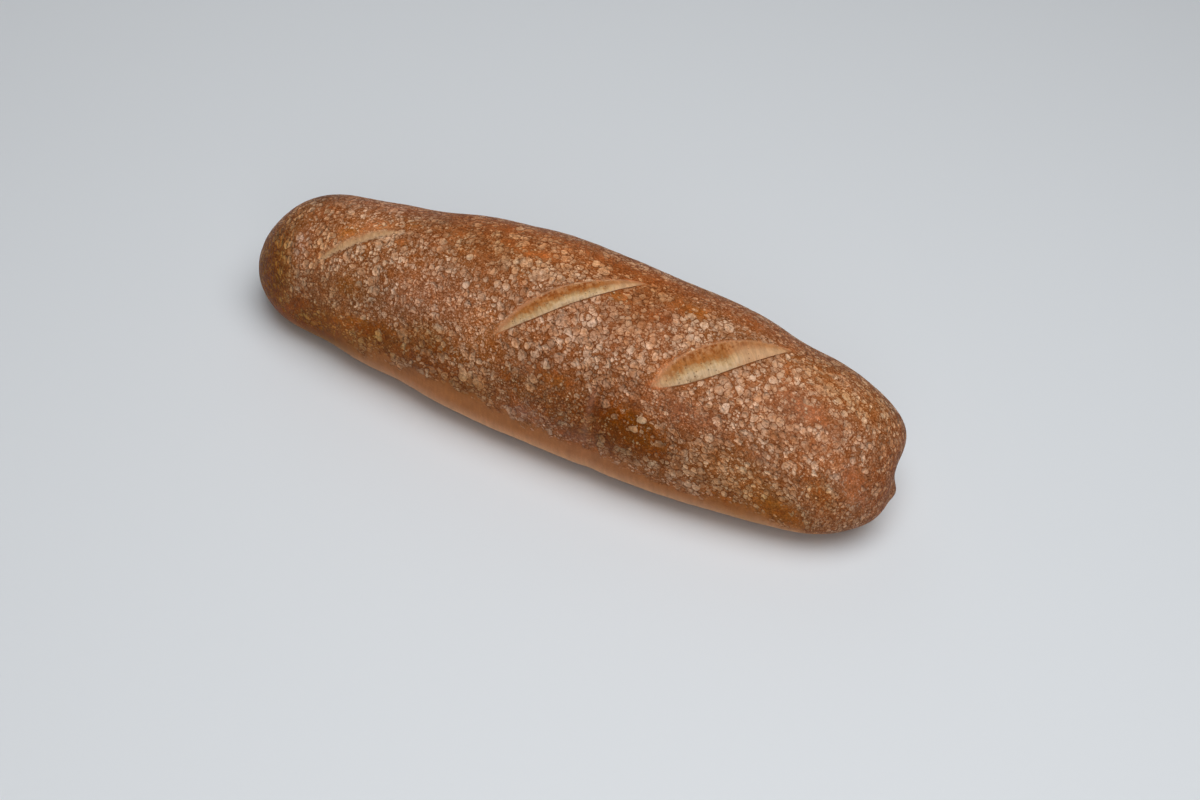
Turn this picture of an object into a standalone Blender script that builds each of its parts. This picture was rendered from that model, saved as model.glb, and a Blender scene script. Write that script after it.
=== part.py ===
"""A long white loaf on its flat base, crust side up.

+X runs along the loaf towards its blunt end, -Y is the side the slashes open on.
The crust is a loft: every section is a dome over a tucked underside, and both
shrink along the length into rounded ends.  Broad swells and hollows of the risen
dough are laid over that, and three slanting slashes are cut into the top.
"""

import math

import bmesh
import bpy
import numpy as np

# The loft, in metres and plain ratios.
HALF_LENGTH = 0.175
WIDTH = 0.106
HEIGHT = 0.086
WIDEST_RATIO = 0.31
END_POWER = 5.0
WIDTH_END_POWER = (2.55, 2.70)
HEIGHT_END_POWER = (2.25, 2.40)
WIDTH_TAPER = 0.139
WIDTH_NARROWING = 0.264
HEIGHT_TAPER = -0.02
HEIGHT_LOWERING = 0.24
DOME_POWER = 2.12
TUCK_POWER = 2.8
TUCK_DEPTH = 1.10
CORE_HALF_LENGTH = 0.135
CORE_HEIGHT = 0.032

# Swells and hollows: centre x, y, z, reach along, reach around, out (millimetres).
SWELLS = (
    (-150, 22, 58, 16, 30, 3.6),
    (-120, 28, 68, 16, 30, -2.1),
    (-88, 33, 72, 14, 30, -2.7),
    (-55, 34, 76, 18, 30, 0.8),
    (-15, 36, 80, 20, 30, 3.0),
    (22, 38, 80, 13, 30, 0.6),
    (110, 36, 68, 14, 30, -2.9),
    (-155, -18, 12, 14, 24, 3.5),
    (-118, -30, 8, 12, 24, -1.4),
    (-78, -38, 7, 14, 24, -2.2),
    (110, -48, 7, 14, 24, -0.6),
    (150, -35, 10, 14, 24, 2.2),
    (172, 22, 45, 16, 16, 3.2),
    (176, 7, 26, 7, 10, -4.5),
    (174, -14, 14, 12, 12, 2.4),
    (176, -4, 25, 8, 3.5, 2.9),
    (-172, -8, 20, 14, 16, 3.5),
    (34, -50, 34, 3.5, 16, -1.3),
    (46, -48, 46, 9, 12, 1.0),
)

# Slashes: middle x and arc from the ridge, slant, length, bow of the lipped and of
# the sharp edge (below nought where both edges bow the same way), lean of the bow
# towards the lower tip, depth, lip (millimetres, slant in degrees).
SLASHES = (
    (-115.5, 23.5, 31.9, 45, 10.0, -2.5, 0.00, 0.5, 0.3),
    (3, 19.5, 44.5, 79, 10.9, 1.8, 0.15, 1.8, 0.7),
    (82, 17, 46, 78, 8.8, 7.0, 0.10, 1.9, 0.7),
)
FLOOR_POWER = 0.7
LIP_STEP = 0.25
CUTTER_LID = 5.0
LIP_SETBACK = 1.5
LIP_REACH = 3.2

# Mesh density.
CELLS_ALONG = 72
CELLS_ACROSS = 26
CELLS_UP = 8
CUTTER_CELLS_ALONG = 26
CUTTER_CELLS_ACROSS = 6
CAP_START = 0.93
TOP_CORNER = 35.0
BASE_CORNER = 52.0

MM = 0.001
BASE_TOLERANCE = 1e-7
SHARP_ANGLE = 38.0
CRUST_COLOUR = (0.300, 0.112, 0.042, 1.0)
CRUST_ROUGHNESS = 0.5


def clear_scene():
    """Empty the scene of whatever it opened with."""
    for obj in list(bpy.data.objects):
        bpy.data.objects.remove(obj, do_unlink=True)


def new_collection(name, hidden=False):
    """Return a collection linked to the scene."""
    group = bpy.data.collections.new(name)
    group.hide_render = hidden
    bpy.context.scene.collection.children.link(group)
    return group


def crust_material():
    """Return the one material of the loaf, a browned satin crust."""
    material = bpy.data.materials.new("crust")
    material.use_nodes = True
    shader = material.node_tree.nodes["Principled BSDF"]
    shader.inputs["Base Color"].default_value = CRUST_COLOUR
    shader.inputs["Roughness"].default_value = CRUST_ROUGHNESS
    return material


def loft(station, angle):
    """Return the points of the plain loft, station -1..1 along, angle in radians.

    Angle 0 is the back (+Y), a quarter turn is the ridge, half a turn the front.
    """
    left = station < 0
    span = np.abs(station)
    ending = np.clip(1.0 - span**END_POWER, 0.0, 1.0)
    narrow = ending ** (1.0 / np.where(left, *WIDTH_END_POWER))
    narrow = narrow * (1.0 + WIDTH_TAPER * station - WIDTH_NARROWING * station**2)
    low_end = ending ** (1.0 / np.where(left, *HEIGHT_END_POWER))
    low = low_end * (1.0 + HEIGHT_TAPER * station - HEIGHT_LOWERING * station**2)
    cosine = np.cos(angle)
    sine = np.sin(angle)
    upper = sine >= 0
    power = 2.0 / np.where(upper, DOME_POWER, TUCK_POWER)
    out = 0.5 * WIDTH * narrow * np.sign(cosine) * np.abs(cosine) ** power
    rise = np.abs(sine) ** power
    widest = WIDEST_RATIO * HEIGHT
    up = (HEIGHT - widest) * low * rise
    down = TUCK_DEPTH * widest * low_end * rise
    height = widest + np.where(upper, up, -down)
    return np.stack([HALF_LENGTH * station + 0.0 * out, out, height], axis=-1)


def outward(points):
    """Return unit directions away from the core line inside the loaf."""
    away = points.copy()
    away[..., 0] -= np.clip(points[..., 0], -CORE_HALF_LENGTH, CORE_HALF_LENGTH)
    away[..., 2] -= CORE_HEIGHT
    return away / np.linalg.norm(away, axis=-1, keepdims=True)


def crust(station, angle):
    """Return the loft's points with the swells on and the base cut flat."""
    points = loft(station, angle)
    swell = np.zeros(points.shape[:-1])
    for x, y, z, along, around, out in SWELLS:
        far = ((points[..., 0] / MM - x) / along) ** 2
        aside = (points[..., 1] / MM - y) ** 2 + (points[..., 2] / MM - z) ** 2
        swell += out * MM * np.exp(-0.5 * (far + aside / around**2))
    points = points + outward(points) * swell[..., None]
    points[..., 2] = np.maximum(points[..., 2], 0.0)
    return points


TABLE_STATIONS = np.linspace(-0.995, 0.995, 200)
TABLE_ANGLES = np.radians(np.arange(-20.0, 201.0, 2.0))
RIDGE_COLUMN = int(np.argmin(np.abs(TABLE_ANGLES - 0.5 * math.pi)))


def arc_table():
    """Return the arc from the ridge, millimetres, front positive, on the table."""
    points = crust(TABLE_STATIONS[:, None], TABLE_ANGLES[None, :])
    steps = np.linalg.norm(np.diff(points[..., 1:], axis=1), axis=-1) / MM
    arcs = np.cumsum(steps, axis=1)
    arcs = np.concatenate([np.zeros((len(arcs), 1)), arcs], axis=1)
    return arcs - arcs[:, RIDGE_COLUMN : RIDGE_COLUMN + 1]


ARCS = arc_table()


def table_row(station):
    """Return the table row below this station and the share of the next one."""
    place = np.interp(station, TABLE_STATIONS, np.arange(len(TABLE_STATIONS)))
    row = int(min(place, len(TABLE_STATIONS) - 2))
    return row, place - row


def arc_at(station, angle):
    """Return the arc from the ridge, in millimetres, to one point of the crust."""
    row, share = table_row(station)
    first = np.interp(angle, TABLE_ANGLES, ARCS[row])
    second = np.interp(angle, TABLE_ANGLES, ARCS[row + 1])
    return first + share * (second - first)


def angle_at(station, arc):
    """Return the angle whose arc from the ridge, in millimetres, is this one."""
    row, share = table_row(station)
    first = np.interp(arc, ARCS[row], TABLE_ANGLES)
    second = np.interp(arc, ARCS[row + 1], TABLE_ANGLES)
    return first + share * (second - first)


def skin(x, arc):
    """Return the crust's point and outward normal at x and arc in millimetres."""
    reach = 0.5

    def at(along, around):
        station = min(max(along * MM / HALF_LENGTH, -0.99), 0.99)
        return crust(np.array(station), np.array(angle_at(station, around)))

    lengthwise = at(x + reach, arc) - at(x - reach, arc)
    around = at(x, arc + reach) - at(x, arc - reach)
    normal = np.cross(around, lengthwise)
    return at(x, arc), normal / np.linalg.norm(normal)


def slash_edges(place, slash):
    """Return how far the lipped and the sharp edge bow out at place -1..1."""
    lipped, sharp, lean = slash[4:7]
    lens = max(1.0 - place * place, 0.0) ** 0.75 * (1.0 - lean * place)
    return lipped * lens, sharp * lens


def lip_height(x, arc):
    """Return how far the crust's lips beside the slashes stand up, in millimetres."""
    height = 0.0
    for slash in SLASHES:
        middle_x, middle_arc, slant, length = slash[:4]
        turn = math.radians(slant)
        over = x - middle_x
        down = arc - middle_arc
        place = 2.0 * (over * math.cos(turn) - down * math.sin(turn)) / length
        across = over * math.sin(turn) + down * math.cos(turn)
        if abs(place) < 1.0:
            edge = -slash_edges(place, slash)[0] - LIP_SETBACK
            fade = 1.0 - place * place
            height += slash[8] * fade * math.exp(-(((across - edge) / LIP_REACH) ** 2))
    return height


def gridded_box(along, across, up):
    """Return a bmesh cube of half side 1 whose faces are cut into even cells."""
    box = bmesh.new()
    bmesh.ops.create_cube(box, size=2.0)
    for axis, cells in enumerate((along, across, up)):
        normal = [0.0, 0.0, 0.0]
        normal[axis] = 1.0
        for cut in range(1, cells):
            point = [0.0, 0.0, 0.0]
            point[axis] = -1.0 + 2.0 * cut / cells
            every = box.verts[:] + box.edges[:] + box.faces[:]
            bmesh.ops.bisect_plane(box, geom=every, plane_co=point, plane_no=normal)
    return box


def ring_angle(y, z):
    """Return the section angle for a point on the outline of the unit square."""
    side = 0.5 * (TOP_CORNER + BASE_CORNER)
    middle = 0.5 * (TOP_CORNER - BASE_CORNER)
    if z >= max(abs(y), 1e-9):
        return 90.0 - y / z * (90.0 - TOP_CORNER)
    if -z >= abs(y) and z < 0:
        return -90.0 + y / -z * (90.0 - BASE_CORNER)
    slope = middle + side * z / abs(y)
    return slope if y > 0 else 180.0 - slope


def loaf_point(corner):
    """Return the crust point, lips included, for one vertex of the gridded box."""
    x, y, z = corner
    ring = max(abs(y), abs(z))
    cap = math.asin(CAP_START)
    if ring < 1.0 - 1e-6:
        turn = cap + (0.5 * math.pi - cap) * (1.0 - ring)
        station = math.copysign(math.sin(turn), x)
    else:
        station = math.sin(cap * x)
    degrees = ring_angle(y, z) if ring > 1e-9 else 90.0
    degrees = degrees if degrees > -90.0 - 1e-6 else degrees + 360.0
    angle = math.radians(degrees)
    point = crust(np.array(station), np.array(angle))
    if 0.0 < degrees < 180.0 and abs(station) < CAP_START:
        arc = arc_at(station, angle)
        lip = lip_height(station * HALF_LENGTH / MM, arc)
        if lip > 0.01:
            point = point + outward(point) * lip * MM
    return point


def mesh_object(name, shape, group):
    """Turn the bmesh into an object of the collection, facing out, and free it."""
    if shape.calc_volume(signed=True) < 0.0:
        bmesh.ops.reverse_faces(shape, faces=shape.faces[:])
    mesh = bpy.data.meshes.new(name)
    shape.to_mesh(mesh)
    shape.free()
    obj = bpy.data.objects.new(name, mesh)
    group.objects.link(obj)
    return obj


def flatten_base(shape):
    """Join the faces that lie in the base plane into one flat face."""
    flat = [
        face
        for face in shape.faces
        if all(vert.co.z < BASE_TOLERANCE for vert in face.verts)
    ]
    bmesh.ops.dissolve_faces(shape, faces=flat, use_verts=True)


def loaf_body(group):
    """Build the uncut loaf from a gridded box mapped onto the crust."""
    shape = gridded_box(CELLS_ALONG, CELLS_ACROSS, CELLS_UP)
    for vert in shape.verts:
        vert.co = loaf_point(tuple(vert.co))
    flatten_base(shape)
    body = mesh_object("loaf", shape, group)
    body.data.materials.append(crust_material())
    return body


def cutter_point(corner, slash):
    """Return a slash cutter's point: a floor just under the lip, deepening, or a lid."""
    middle_x, middle_arc, slant, length = slash[:4]
    turn = math.radians(slant)
    place, side, level = corner
    place *= 0.97
    lipped, sharp = slash_edges(place, slash)
    share = 0.5 * (side + 1.0)
    across = -lipped + (lipped + sharp) * share
    along = 0.5 * length * place
    x = middle_x + along * math.cos(turn) + across * math.sin(turn)
    arc = middle_arc - along * math.sin(turn) + across * math.cos(turn)
    point, normal = skin(x, arc)
    deep = slash[7] * math.sqrt(1.0 - place * place) * share**FLOOR_POWER
    out = CUTTER_LID if level > 0 else -LIP_STEP - deep
    lip = lip_height(x, arc) if level > 0 else 0.0
    return point + normal * (out + lip) * MM


def slash_cutter(number, slash, group):
    """Build the wedge that one slash takes out of the crust."""
    shape = gridded_box(CUTTER_CELLS_ALONG, CUTTER_CELLS_ACROSS, 1)
    for vert in shape.verts:
        vert.co = cutter_point(tuple(vert.co), slash)
    cutter = mesh_object(f"slash_cutter_{number}", shape, group)
    cutter.display_type = "WIRE"
    return cutter


def cut(body, cutter):
    """Take the cutter's shape out of the body."""
    boolean = body.modifiers.new(cutter.name, "BOOLEAN")
    boolean.operation = "DIFFERENCE"
    boolean.solver = "EXACT"
    boolean.object = cutter


def centre_on_base(objects):
    """Move every object so the box round the first stands on the origin."""
    corners = np.array([vert.co for vert in objects[0].data.vertices])
    middle = 0.5 * (corners.min(axis=0) + corners.max(axis=0))
    for obj in objects:
        for vert in obj.data.vertices:
            vert.co.x -= middle[0]
            vert.co.y -= middle[1]


def smooth(body):
    """Shade the crust smooth with the slash edges and the base edge kept sharp."""
    body.data.shade_smooth()
    body.data.set_sharp_from_angle(angle=math.radians(SHARP_ANGLE))


def build():
    """Build the loaf and its three slash cutters."""
    clear_scene()
    group = new_collection("long_white_loaf")
    tools = new_collection("slash_cutters", hidden=True)
    body = loaf_body(group)
    cutters = [
        slash_cutter(number, slash, tools)
        for number, slash in enumerate(SLASHES, start=1)
    ]
    centre_on_base([body, *cutters])
    for cutter in cutters:
        cut(body, cutter)
    smooth(body)


build()
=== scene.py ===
import math

import bpy
import numpy as np
from mathutils import Matrix, Vector, noise
from mathutils.geometry import delaunay_2d_cdt


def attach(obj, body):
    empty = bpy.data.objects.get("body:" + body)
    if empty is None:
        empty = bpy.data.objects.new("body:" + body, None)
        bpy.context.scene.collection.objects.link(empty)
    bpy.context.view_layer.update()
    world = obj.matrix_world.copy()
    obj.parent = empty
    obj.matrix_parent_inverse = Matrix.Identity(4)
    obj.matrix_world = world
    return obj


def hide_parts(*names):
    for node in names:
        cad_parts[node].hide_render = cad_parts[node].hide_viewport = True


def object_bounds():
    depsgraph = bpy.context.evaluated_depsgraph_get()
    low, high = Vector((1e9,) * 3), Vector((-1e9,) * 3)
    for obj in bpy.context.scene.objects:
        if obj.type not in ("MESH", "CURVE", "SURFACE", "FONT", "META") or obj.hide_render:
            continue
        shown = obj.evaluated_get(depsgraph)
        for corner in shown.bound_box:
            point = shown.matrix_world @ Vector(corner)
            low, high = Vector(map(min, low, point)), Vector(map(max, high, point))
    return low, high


# The long white loaf: one baked crust over the CAD solid, plus floor, lights and camera.
# All shaping is done in millimetres and turned to metres when the mesh is made.

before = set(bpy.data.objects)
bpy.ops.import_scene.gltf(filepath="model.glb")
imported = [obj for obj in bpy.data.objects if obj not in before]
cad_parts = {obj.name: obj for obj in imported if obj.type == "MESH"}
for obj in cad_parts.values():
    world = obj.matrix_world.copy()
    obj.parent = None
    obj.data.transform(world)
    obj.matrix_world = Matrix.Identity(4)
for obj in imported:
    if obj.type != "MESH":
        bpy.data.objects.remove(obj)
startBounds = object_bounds()
print("frame loaded")

mm = 0.001

# The form the dough baked to, the same loft as the solid: a dome over a tucked underside.
loafShape = {
    "halfLength": 175.0,
    "width": 106.0,
    "height": 86.0,
    "widestShare": 0.31,
    "endPower": 5.0,
    "widthEndPower": (2.55, 2.70),
    "heightEndPower": (2.25, 2.40),
    "widthTaper": 0.139,
    "widthNarrowing": 0.264,
    "heightTaper": -0.02,
    "heightLowering": 0.24,
    "domePower": 2.12,
    "tuckPower": 2.8,
    "tuckDepth": 1.10,
    "coreHalfLength": 135.0,
    "coreHeight": 32.0,
    # x, y, z, reach along, reach around, out
    "swells": [
        (-150, 22, 58, 16, 30, 3.6),
        (-120, 28, 68, 16, 30, -2.1),
        (-88, 33, 72, 14, 30, -2.7),
        (-55, 34, 76, 18, 30, 0.8),
        (-15, 36, 80, 20, 30, 3.0),
        (22, 38, 80, 13, 30, 0.6),
        (110, 36, 68, 14, 30, -2.9),
        (-155, -18, 12, 14, 24, 3.5),
        (-118, -30, 8, 12, 24, -1.4),
        (-78, -38, 7, 14, 24, -2.2),
        (110, -48, 7, 14, 24, -0.6),
        (150, -35, 10, 14, 24, 2.2),
        (172, 22, 45, 16, 16, 3.2),
        (176, 7, 26, 7, 10, -4.5),
        (174, -14, 14, 12, 12, 2.4),
        (176, -4, 25, 8, 3.5, 2.9),
        (-172, -8, 20, 14, 16, 3.5),
        (34, -50, 34, 3.5, 16, -1.3),
        (46, -48, 46, 9, 12, 1.0),
    ],
}


# Points of the plain loft: station -1..1 along, angle 0 at the back, a quarter turn at the ridge.
def loftPoints(station, angle):
    shape = loafShape
    left = station < 0
    ending = np.clip(1.0 - np.abs(station) ** shape["endPower"], 0.0, 1.0)
    narrow = ending ** (1.0 / np.where(left, *shape["widthEndPower"]))
    narrow = narrow * (1.0 + shape["widthTaper"] * station - shape["widthNarrowing"] * station**2)
    lowEnd = ending ** (1.0 / np.where(left, *shape["heightEndPower"]))
    low = lowEnd * (1.0 + shape["heightTaper"] * station - shape["heightLowering"] * station**2)
    cosine, sine = np.cos(angle), np.sin(angle)
    upper = sine >= 0
    power = 2.0 / np.where(upper, shape["domePower"], shape["tuckPower"])
    across = 0.5 * shape["width"] * narrow * np.sign(cosine) * np.abs(cosine) ** power
    rise = np.abs(sine) ** power
    widest = shape["widestShare"] * shape["height"]
    up = (shape["height"] - widest) * low * rise
    down = shape["tuckDepth"] * widest * lowEnd * rise
    height = widest + np.where(upper, up, -down)
    return np.stack([shape["halfLength"] * station + 0.0 * across, across, height], axis=-1)


# Directions away from the core line inside the loaf, along which the dough swelled.
def outwardFrom(points):
    away = points.copy()
    core = loafShape["coreHalfLength"]
    away[..., 0] -= np.clip(points[..., 0], -core, core)
    away[..., 2] -= loafShape["coreHeight"]
    return away / np.linalg.norm(away, axis=-1, keepdims=True)


def crustPoints(station, angle):
    points = loftPoints(station, angle)
    swell = np.zeros(points.shape[:-1])
    for x, y, z, along, around, out in loafShape["swells"]:
        far = ((points[..., 0] - x) / along) ** 2
        aside = ((points[..., 1] - y) ** 2 + (points[..., 2] - z) ** 2) / around**2
        swell += out * np.exp(-0.5 * (far + aside))
    points = points + outwardFrom(points) * swell[..., None]
    points[..., 2] = np.maximum(points[..., 2], 0.0)
    return points


# The skin's grid in millimetres: rings along the loaf and lines around it, closest on the crust.
gridSteps = {"along": 1.12, "around": 1.06, "underside": 3.4, "samples": 3001}


def evenPlaces(costs, places, count):
    total = np.concatenate([[0.0], np.cumsum(costs)])
    return np.interp(np.linspace(0.0, total[-1], count + 1), total, places)


def makeGrid():
    quarter, samples = 0.5 * math.pi, gridSteps["samples"]
    turns = np.linspace(-quarter, quarter, samples)
    meridians = [crustPoints(np.sin(turns), np.full_like(turns, a)) for a in (0.0, quarter, math.pi)]
    steps = sum(np.linalg.norm(np.diff(line, axis=0), axis=-1) for line in meridians) / 3.0
    rings = int(round(steps.sum() / gridSteps["along"]))
    stations = np.sin(evenPlaces(steps, turns, rings))
    angles = np.linspace(-quarter, 3 * quarter, samples)
    section = crustPoints(np.zeros_like(angles), angles)
    lengths = np.linalg.norm(np.diff(section, axis=0), axis=-1)
    under = 0.5 * (section[1:, 2] + section[:-1, 2]) < 1.0
    costs = lengths / np.where(under, gridSteps["underside"], gridSteps["around"])
    lines = evenPlaces(costs, angles, int(round(costs.sum())))
    girth = np.interp(lines, angles, np.concatenate([[0.0], np.cumsum(lengths)]))
    points = crustPoints(stations[:, None], lines[None, :])
    gaps = np.linalg.norm(np.diff(points[..., 1:], axis=1), axis=-1)
    arcs = np.cumsum(np.pad(gaps, ((0, 0), (1, 0))), axis=1)
    ridge = np.interp(quarter, lines, np.arange(len(lines)))
    lowRidge = int(ridge)
    share = ridge - lowRidge
    middle = arcs[:, lowRidge] * (1 - share) + arcs[:, lowRidge + 1] * share
    return {"stations": stations, "lines": lines, "girth": girth / girth[-1], "arcs": arcs - middle[:, None]}


grid = makeGrid()
print(f"grid of {len(grid['stations'])} rings and {len(grid['lines'])} lines")


# Values at fractional grid places, from a table with one row per ring.
def fromTable(table, ring, line):
    i = np.clip(ring.astype(int), 0, table.shape[0] - 2)
    j = np.clip(line.astype(int), 0, table.shape[1] - 2)
    a, b = ring - i, line - j
    upper = table[i, j] * (1 - b) + table[i, j + 1] * b
    lower = table[i + 1, j] * (1 - b) + table[i + 1, j + 1] * b
    return upper * (1 - a) + lower * a


# Fractional grid places of points given as x and arc from the ridge, front positive.
def gridPlaces(x, arc):
    ring = np.interp(x, grid["stations"] * loafShape["halfLength"], np.arange(len(grid["stations"])))
    line = np.empty_like(ring)
    numbers = np.arange(len(grid["lines"]))
    for k, (place, far) in enumerate(zip(ring, arc)):
        i = min(int(place), len(grid["stations"]) - 2)
        row = grid["arcs"][i] * (i + 1 - place) + grid["arcs"][i + 1] * (place - i)
        line[k] = np.interp(far, row, numbers)
    return ring, line


# Slashes cut with one stroke each, opened by the oven: a raised lip on the upper side, a floor that
# falls towards the lower side, and a sharp step up to the crust there. Millimetres and degrees.
# closed is how far it baked shut, creamEnd where along it the cream turns to plain tan, and push how
# far its colours are pushed down the floor.
slashes = [
    {"x": -113.0, "arc": 23.4, "slant": 31.9, "length": 52.0, "lipBow": 9.4, "sharpBow": -0.9, "lean": -0.1,
     "depth": 0.5, "lip": 0.3, "closed": 1.0, "creamEnd": 0.9, "push": 1.0},
    {"x": 3.0, "arc": 19.5, "slant": 44.5, "length": 79.0, "lipBow": 8.0, "sharpBow": 1.8, "lean": 0.1,
     "depth": 2.1, "lip": 0.7, "closed": 0.0, "creamEnd": 0.6, "push": 1.05},
    {"x": 82.4, "arc": 16.7, "slant": 46.0, "length": 74.0, "lipBow": 8.2, "sharpBow": 6.5, "lean": 0.24,
     "depth": 2.2, "lip": 0.7, "closed": 0.0, "creamEnd": 0.2, "push": 1.0},
]
slashCut = {
    # the step and the rolled lip, and the most of the cut's width that each may take
    "stepWidth": 0.45, "stepShare": 0.2, "lipRoll": 1.5, "rollShare": 0.3,
    # how near the tips both run, and how gradually the cream ends
    "runOut": 0.93, "creamBlend": 0.3,
    # the swellings beside the cut: how far from its edge, how broad, how high below it
    "lipSet": 1.2, "lipWidth": 3.0, "sharpSet": 0.6, "sharpWidth": 1.8, "sharpRise": 0.25,
    # the floor's fall: how much of it is even, where it steepens, and the low swelling between
    "evenFall": 0.55, "steepFrom": 0.7, "swelling": 0.1, "swellFrom": 0.35, "swellLength": 0.6,
    # the mesh's points: along the edges, on the floor, least room by an edge and by a point
    "rimSpacing": 0.7, "floorSpacing": 0.7, "edgeRoom": 0.3, "pointRoom": 0.34, "clearance": 0.62,
}


def slashBows(slash, place):
    lens = np.clip(1.0 - place**2, 0.0, 1.0) ** 0.75 * (1.0 - slash["lean"] * place)
    return slash["lipBow"] * lens, slash["sharpBow"] * lens


# Along the cut (-1 at its lower tip) and across it (positive towards the sharp edge).
def slashPlaces(slash, x, arc):
    turn = math.radians(slash["slant"])
    over, down = x - slash["x"], arc - slash["arc"]
    along = over * math.cos(turn) - down * math.sin(turn)
    return 2.0 * along / slash["length"], over * math.sin(turn) + down * math.cos(turn)


def slashPoints(slash, place, across):
    turn = math.radians(slash["slant"])
    along = 0.5 * slash["length"] * place
    x = slash["x"] + along * math.cos(turn) + across * math.sin(turn)
    return x, slash["arc"] - along * math.sin(turn) + across * math.cos(turn)


# How far inside the cut a point lies, negative outside it.
def slashInside(slash, place, across):
    lip, sharp = slashBows(slash, place)
    inside = np.minimum(across + lip, sharp - across)
    beyond = np.clip(np.abs(place) - 1.0, 0.0, None) * 0.5 * slash["length"]
    return np.where(beyond > 0, -np.hypot(beyond, across), inside)


def slashLines(slash):
    count = int(slash["length"] / slashCut["rimSpacing"])
    even = np.linspace(-1.0, 1.0, count + 1)
    place = np.sin(0.5 * math.pi * even) * 0.4 + even * 0.6  # closer together at the tips
    lip, sharp = slashBows(slash, place)
    inner = np.abs(place) < slashCut["runOut"]
    rolled = np.minimum(slashCut["lipRoll"], slashCut["rollShare"] * (lip + sharp))[inner]
    stepped = np.minimum(slashCut["stepWidth"], slashCut["stepShare"] * (lip + sharp))[inner]
    return [
        (place, -lip),
        (place[1:-1], sharp[1:-1]),
        (place[inner], -lip[inner] + rolled),
        (place[inner], sharp[inner] - stepped),
    ]


# Height of the skin beside and in the cuts, over the plain crust.
def slashHeights(x, arc):
    cut = slashCut
    height = np.zeros_like(x)
    for slash in slashes:
        place, across = slashPlaces(slash, x, arc)
        lip, sharp = slashBows(slash, place)
        taper = np.clip(1.0 - place**2, 0.0, 1.0)
        lipRise = slash["lip"] * taper * np.exp(-(((across + lip + cut["lipSet"]) / cut["lipWidth"]) ** 2))
        sharpRise = cut["sharpRise"] * taper
        sharpRise = sharpRise * np.exp(-(((across - sharp - cut["sharpSet"]) / cut["sharpWidth"]) ** 2))
        outside = lipRise + sharpRise
        inside = slashInside(slash, place, across)
        width = np.maximum(lip + sharp, 1e-6)
        share = np.clip((across + lip) / width, 0.0, 1.0)
        step = np.minimum(cut["stepWidth"], cut["stepShare"] * width)
        wall = np.clip((sharp - across) / step, 0.0, 1.0)
        steep = np.clip((share - cut["steepFrom"]) / (1.0 - cut["steepFrom"]), 0.0, 1.0)
        deep = cut["evenFall"] * share**1.1 + (1.0 - cut["evenFall"]) * steep**1.6
        swell = np.clip((share - cut["swellFrom"]) / cut["swellLength"], 0.0, 1.0)
        deep -= cut["swelling"] * np.sin(math.pi * swell) ** 2
        floor = outside - slash["depth"] * taper**0.5 * deep * wall
        height += np.where(inside > 0, floor, outside)
    return height


# Triangles that fill the grid's cells around one cut, along its edges and over its floor.
def slashTriangles(slash, newPlaces):
    lines = slashLines(slash)
    spots = []
    links = []
    for place, across in lines:
        first = len(spots)
        spots += list(zip(place, across))
        links += [(first + k, first + k + 1) for k in range(len(place) - 1)]
    tipCount = len(lines[0][0])
    links += [(0, tipCount), (tipCount - 1, tipCount + len(lines[1][0]) - 1)]
    spacing = slashCut["floorSpacing"]
    known = np.array(spots)
    half = 0.5 * slash["length"]
    top, bottom = -1.3 * slash["lipBow"], max(1.3 * slash["sharpBow"], spacing)
    for row, along in enumerate(np.arange(-half + 2.0, half - 2.0, spacing)):
        shift = 0.5 * spacing * (row % 2)
        for across in np.arange(top, bottom, spacing) + shift:
            place = along / half
            if slashInside(slash, np.array(place), np.array(across)) < slashCut["edgeRoom"]:
                continue
            gaps = np.hypot((known[:, 0] - place) * half, known[:, 1] - across)
            if gaps.min() > slashCut["pointRoom"]:
                spots.append((place, across))
    spots = np.array(spots)
    ring, line = gridPlaces(*slashPoints(slash, spots[:, 0], spots[:, 1]))
    low = (int(ring.min()) - 3, int(line.min()) - 3)
    high = (int(ring.max()) + 4, int(line.max()) + 4)
    kept = []
    for i in range(low[0], high[0] + 1):
        for j in range(low[1], high[1] + 1):
            border = i in (low[0], high[0]) or j in (low[1], high[1])
            x = np.array(grid["stations"][i] * loafShape["halfLength"])
            place, across = slashPlaces(slash, x, np.array(grid["arcs"][i, j]))
            if border or slashInside(slash, place, across) < -slashCut["clearance"]:
                kept.append((i, j))
    corners = [Vector((a, b)) for a, b in zip(ring, line)] + [Vector(k) for k in kept]
    found = delaunay_2d_cdt(corners, links, [], 0, 1e-5, True)
    firstNew = len(newPlaces)
    newPlaces += list(zip(ring, line))
    ids = []
    for sources in found[3]:
        source = sources[0]
        ids.append(("new", firstNew + source) if source < len(spots) else ("grid", kept[source - len(spots)]))
    return low, high, [[ids[v] for v in face] for face in found[2]]


# The whole skin as grid places and faces, with finer triangles that follow the cuts' edges.
def makeSkin():
    rings, lines = len(grid["stations"]), len(grid["lines"]) - 1
    places = [(0.0, 0.0), (rings - 1.0, 0.0)]
    number = {}
    for i in range(1, rings - 1):
        for j in range(lines):
            number[i, j] = len(places)
            places.append((float(i), float(j)))
    newPlaces = []
    patches = [slashTriangles(slash, newPlaces) for slash in slashes]
    start = len(places)
    places += newPlaces
    taken = set()
    faces = []
    for low, high, triangles in patches:
        taken.update((i, j) for i in range(low[0], high[0]) for j in range(low[1], high[1]))
        for triangle in triangles:
            faces.append([start + at if kind == "new" else number[at] for kind, at in triangle])
    for i in range(1, rings - 2):
        for j in range(lines):
            if (i, j) not in taken:
                over = (j + 1) % lines
                faces.append([number[i, j], number[i + 1, j], number[i + 1, over], number[i, over]])
    for j in range(lines):
        over = (j + 1) % lines
        faces.append([0, number[1, j], number[1, over]])
        faces.append([1, number[rings - 2, over], number[rings - 2, j]])
    return np.array(places), faces


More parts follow.
